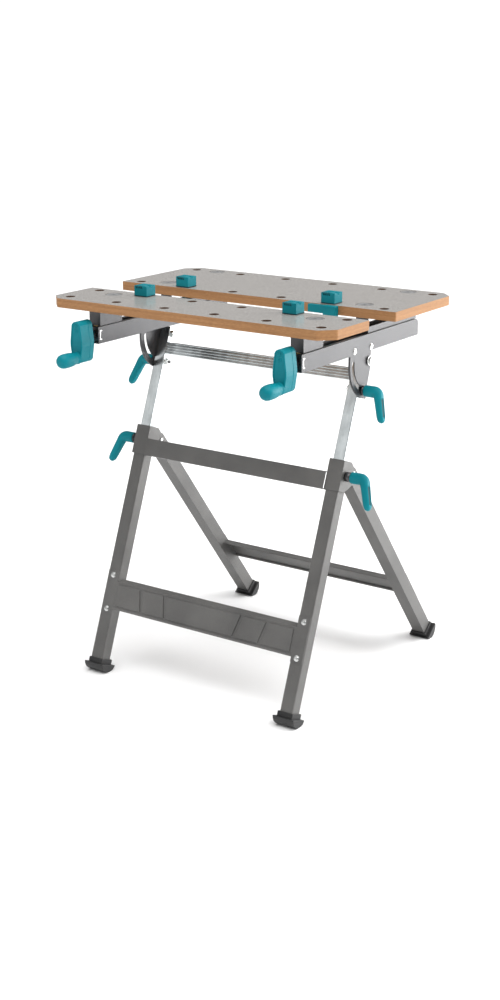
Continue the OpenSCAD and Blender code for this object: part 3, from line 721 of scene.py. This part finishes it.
def makePivots():
    s, node = pivotShape, "pivot_bolts"
    washer, nut, bolt, tube, plate = s["washer"], s["nut"], s["bolt"], s["tube"], s["plate"]
    seat = plate + s["washerThick"]
    z = joints["table_tilt"]["pos_m"][2]
    low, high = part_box(node)
    middle = high.x - (plate + s["end"]) * mm
    y = (low.y + high.y) / 2
    bm = bmesh.new()
    for side in (-1, 1):
        at, out = (side * middle, y, z), (side, 0, 0)
        shank = [(bolt, -tube - 8), (bolt, plate + 3.2), (bolt - 0.6, plate + s["end"]), (1.2, plate + s["end"])]
        lathe(bm, shank, at, out, 28)
        for a, b in ((plate, seat), (tube + 0.05, s["inside"])):
            disc = [(4, a), (washer - 0.4, a), (washer, a + 0.3), (washer, b - 0.3), (washer - 0.5, b), (4, b)]
            lathe(bm, disc, at, out, 40)
        for a, b in ((seat, seat + s["nutThick"]), (-tube - s["lockNut"], -tube)):
            hexagon = [(4, a), (nut - 0.5, a), (nut, a + 0.5), (nut, b - 0.5), (nut - 0.7, b), (5.6, b)]
            lathe(bm, hexagon, at, out, 6)
    bmesh.ops.recalc_face_normals(bm, faces=bm.faces)
    return makePiece("pivotBoltsTurned", bm, [node])


bearingShape = {"tab": 2.2, "between": 31, "edge": 0.3}  # bright tabs stand out at both sides of the dark plate


def makeBearings():
    s = bearingShape
    bm = roundOver(fromNode("bearing_plates"), s["edge"], 1, 20, isOuter)
    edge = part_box("bearing_plates")[1].x - s["tab"] * mm
    for face in bm.faces:
        x = abs(face.calc_center_median().x)
        face.material_index = 1 if edge - s["between"] * mm <= x <= edge else 0
    return makePiece("bearingPlatesCut", bm, ["bearing_plates"], [finishes["fastener"], finishes["dark_steel"]])


makePivots()
makeBearings()


threadShape = {"radius": 5, "lead": 4, "depth": 0.9, "ringsPerMm": 2}


def makeRod(side):
    s, node = threadShape, side + "spindle"
    low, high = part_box(node)
    seed = bpy.data.meshes.new(side + "thread")
    seed.from_pydata([(low + high) / 2], [], [])
    length = high.y - low.y
    values = {"Radius": s["radius"] * mm, "Length": length, "Lead": s["lead"] * mm, "Depth": s["depth"] * mm,
              "Rings": int(length / mm * s["ringsPerMm"]), "Finish": finishes["fastener"]}
    return grow(node + "Threaded", threads, values, seed, [node])


for side in ("left_", "right_"):
    makeRod(side)
print("bolts and threads are in")


# cranks: a tapering body and a turned knob

crankShape = {"end": 12, "wide": 15.5, "over": 34.5, "length": 87, "middle": -12, "half": 5, "depth": 40,
              "steps": 12, "rings": (25, 15)}


def crankRing(inset):
    s = crankShape
    r, w = s["end"] - inset, s["wide"] - inset

    def arc(mid, a0, a1):
        turns = [math.radians(a0 + (a1 - a0) * i / s["steps"]) for i in range(s["steps"] + 1)]
        return [(r * math.cos(a), mid + r * math.sin(a)) for a in turns]

    flank = [(w, s["middle"] + s["half"]), (w, s["middle"] - s["half"])]
    other = [(-u, v) for u, v in reversed(flank)]
    low = s["over"] - s["length"] + s["end"]
    return arc(s["over"] - s["end"], 160, 20) + flank + arc(low, -20, -160) + other


def makeCrank(side):
    s, node = crankShape, side + "crank"
    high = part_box(node)[1]
    axis = joints[side + "crank_spin"]["pos_m"]
    cx, cz, back = axis[0], axis[2], high.y
    front = back - s["depth"] * mm
    bm = bmesh.new()
    # each section: how far the outline is pulled in, and its place behind the front face
    levels = [(8.5, 38.4), (4.4, 38.4), (3.9, 40), (1.4, 40), (0.35, 39.5), (0, 38.6), (0, 27), (0.5, 26.4),
              (0.5, 25.4), (0, 24.8), (0, 1.4), (0.35, 0.5), (1.4, 0), (3.0, 0), (3.5, 1.3), (7.5, 1.3)]
    loft(bm, [[Vector((cx + u * mm, front + d * mm, cz + v * mm)) for u, v in crankRing(pull)]
              for pull, d in levels])
    # knob on the front face near the lower end
    knob = [(12.8, -3), (12.8, 1.6), (11.9, 3.6), (11.6, 6), (12.4, 9.5), (13.8, 15), (14.8, 23), (15, 32),
            (14.9, 39), (14.0, 45), (12.1, 49), (9.2, 51.6), (5.4, 52.8), (1, 53)]
    knobZ = cz + (s["over"] - s["length"] + s["end"]) * mm
    lathe(bm, knob, (cx, front, knobZ), (0, -1, 0), 36)
    # two raised rings on the front face near the top, and the cap round the spindle
    ring = [(3.4, -0.4), (3.4, 1.1), (2.9, 1.5), (2.2, 1.5), (1.9, 0.8), (0.3, 0.8)]
    for z in s["rings"]:
        lathe(bm, ring, (cx, front + 1.3 * mm, cz + z * mm), (0, -1, 0), 20)
    lathe(bm, [(10.5, -2), (10.5, 0.6), (9.6, 1.2), (5.2, 1.2)], (cx, back - 1.2 * mm, cz), (0, 1, 0), 28)
    bmesh.ops.recalc_face_normals(bm, faces=bm.faces)
    return makePiece(node + "Moulded", bm, [node], None, 30)


for side in ("left_", "right_"):
    makeCrank(side)
print("cranks are moulded")


# clamping levers: a round arm, a tight elbow and a grip with a channel in its outer side

leverShape = {"armRadius": 12, "reach": 28, "drop": 56, "out": 20, "elbow": 9,
              "gripIn": 9.4, "gripWide": 10.2, "tipIn": 7.2, "tipWide": 8.2,
              "channel": 2.6, "channelHalf": 0.47, "tiltBush": 6, "heightBush": 14, "tail": 14,
              "steps": 36}


def leverPath(bush):
    s = leverShape
    down = Vector((s["out"], -s["drop"])).normalized()
    corner = Vector((bush + s["reach"] + 2, 0))
    straight = (bush, bush + 1, bush + 6, bush + 12, corner.x - s["elbow"])
    path = [(Vector((u, 0)), Vector((1, 0))) for u in straight]
    for i in range(1, 6):
        t = i / 6
        a, c = corner - Vector((s["elbow"], 0)), corner + down * s["elbow"]
        p = a * (1 - t) ** 2 + corner * 2 * t * (1 - t) + c * t * t
        path.append((p, ((corner - a) * (1 - t) + (c - corner) * t).normalized()))
    length = math.hypot(s["out"], s["drop"]) + 6
    # stations along the grip, in sixtieths of its length, closer together where the channel ends and at the tip
    for d in (9, 12, 14, 18, 24, 30, 36, 42, 46, 48, 51, 54, 56.5, 58.3):
        path.append((corner + down * d * length / 60, down))
    return path


def makeLever(node, boltNode):
    s = leverShape
    j = joints[node]
    sign = 1 if j["pos_m"][0] > 0 else -1
    across = Vector((0, legUp.z, -legUp.y))
    low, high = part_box(boltNode)
    bush = s["tiltBush"] if "tilt" in node else s["heightBush"]
    seatX = (high.x if sign > 0 else low.x) - sign * (bush + s["tail"]) * mm
    base = Vector((seatX, j["pos_m"][1], j["pos_m"][2]))
    outward = Vector((sign, 0, 0))
    path = leverPath(bush)
    last = len(path) - 1
    steps = s["steps"]
    rings, cut = [], []
    for k, (p, t) in enumerate(path):
        grip = min(1, max(0, (k - 5) / 5))
        tip = min(1, max(0, (k - 10) / (last - 10)))
        thick = s["armRadius"] + (s["gripIn"] - s["armRadius"]) * grip + (s["tipIn"] - s["gripIn"]) * tip
        wide = s["armRadius"] + (s["gripWide"] - s["armRadius"]) * grip + (s["tipWide"] - s["gripWide"]) * tip
        # both ends are rounded, and the section grows squarer along the grip
        ends = {0: 0.9, 1: 0.985, last: 0.3, last - 1: 0.66, last - 2: 0.86, last - 3: 0.96}.get(k, 1)
        power = 1 - 0.28 * grip
        normal = Vector((-t.y, t.x))
        ring = []
        for i in range(steps):
            a = 2 * math.pi * i / steps
            cu = math.copysign(abs(math.cos(a)) ** power, math.cos(a)) * thick * ends
            cv = math.copysign(abs(math.sin(a)) ** power, math.sin(a)) * wide * ends
            inChannel = 12 <= k <= last - 4 and abs(math.remainder(a, math.tau)) < s["channelHalf"]
            if inChannel:
                cu -= s["channel"]
            flat = p + normal * cu
            ring.append(base + outward * flat.x * mm + legUp * flat.y * mm + across * cv * mm)
            cut.append(inChannel)
        rings.append(ring)
    bm = bmesh.new()
    rows = loft(bm, rings)
    index = {v: i for i, v in enumerate(v for row in rows for v in row)}
    # faces on the channel's floor get the dark teal: painted shade in the recess
    for face in bm.faces:
        if len(face.verts) == 4 and all(cut[index[v]] for v in face.verts):
            face.material_index = 1
    # collar where the arm meets the bush
    collar = [(10.2, 0), (11.6, 0.6), (11.6, 3.4), (10.8, 4.2), (8, 4.3)]
    lathe(bm, collar, base + outward * (bush + 0.2) * mm, outward, 32)
    bmesh.ops.recalc_face_normals(bm, faces=bm.faces)
    makePiece(node + "Moulded", bm, [node], [finishes["teal_plastic"], finishes["tealPaintedShade"]])
    # the clamping bolt, with a grooved collar below the bush
    turned = bmesh.new()
    depth = abs(seatX - (low.x if sign > 0 else high.x)) / mm
    neck = bush - 6
    profile = [(3.9, -depth), (3.9, 0.5), (9.2, 0.5), (10, 1.2), (10, 3.2 + neck), (8.8, 3.6 + neck),
               (8.8, 4.4 + neck), (9.8, 4.8 + neck), (9.8, bush), (3.9, bush + 0.1), (3.9, bush + s["tail"] - 1)]
    lathe(turned, profile, base, outward, 32)
    makePiece(boltNode + "Turned", turned, [boltNode])


for side in ("left_", "right_"):
    for kind in ("tilt_", "height_"):
        makeLever(side + kind + "lever", side + kind + "bolt")
print("levers are moulded")


# dogs, edge stop and feet

dogShape = {"edge": 0.3, "rim": 0.7, "contactShadowHeight": 2.0, "rise": 22.1, "lean": 35, "widen": 0.5}


def makeDog(node):
    s = dogShape
    bm = fromNode(node)
    bm.normal_update()
    low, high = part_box(node)
    middle = (low + high) / 2
    # walls and floors of the slanting slots get the dark teal as painted shade, and the slots open a little wider
    # than their core
    wall = Vector((math.cos(math.radians(s["lean"])), 0, math.sin(math.radians(s["lean"]))))
    floor = Vector((-wall.z, 0, wall.x))
    sides = [f for f in bm.faces if abs(f.normal.dot(wall)) > 0.995]
    for face in sides + [f for f in bm.faces if abs(f.normal.dot(floor)) > 0.995]:
        face.material_index = 1
    moved = {v: face.normal.copy() for face in sides for v in face.verts}
    for v, normal in moved.items():
        v.co -= normal * s["widen"] * mm
    roundOver(bm, s["edge"], 2, 60, isOuter)
    base = high.z - s["rise"] * mm
    # a thin ring of dark teal round the foot of the dog, a little wider than its block: a painted contact shadow
    rings = []
    rim, top = s["rim"], s["contactShadowHeight"]
    for h, grown in ((0.05, rim * 0.6), (0.5, rim), (top - 0.5, rim), (top, rim * 0.4)):
        ring = roundedRing((high.x - low.x) / 2 / mm + grown, (high.y - low.y) / 2 / mm + grown, 2, 3)
        rings.append([Vector((middle.x + u * mm, middle.y + v * mm, base + h * mm)) for u, v in ring])
    loft(bm, rings, 1)
    return makePiece(node + "Moulded", bm, [node], [finishes["teal_plastic"], finishes["tealPaintedShade"]])


footShape = {"foot": 1.6, "stop": 0.9}

for corner in ("front_left", "front_right", "rear_left", "rear_right"):
    makeDog(corner + "_dog")
softPart("edge_stop", [(footShape["stop"], 3, isOuter)])

for end in ("front", "rear"):
    for side in ("left_", "right_"):
        softPart(side + end + "_foot", [(footShape["foot"], 3, isOuter)])
print("dogs and feet are moulded")


buildStudio()
print("studio is set")
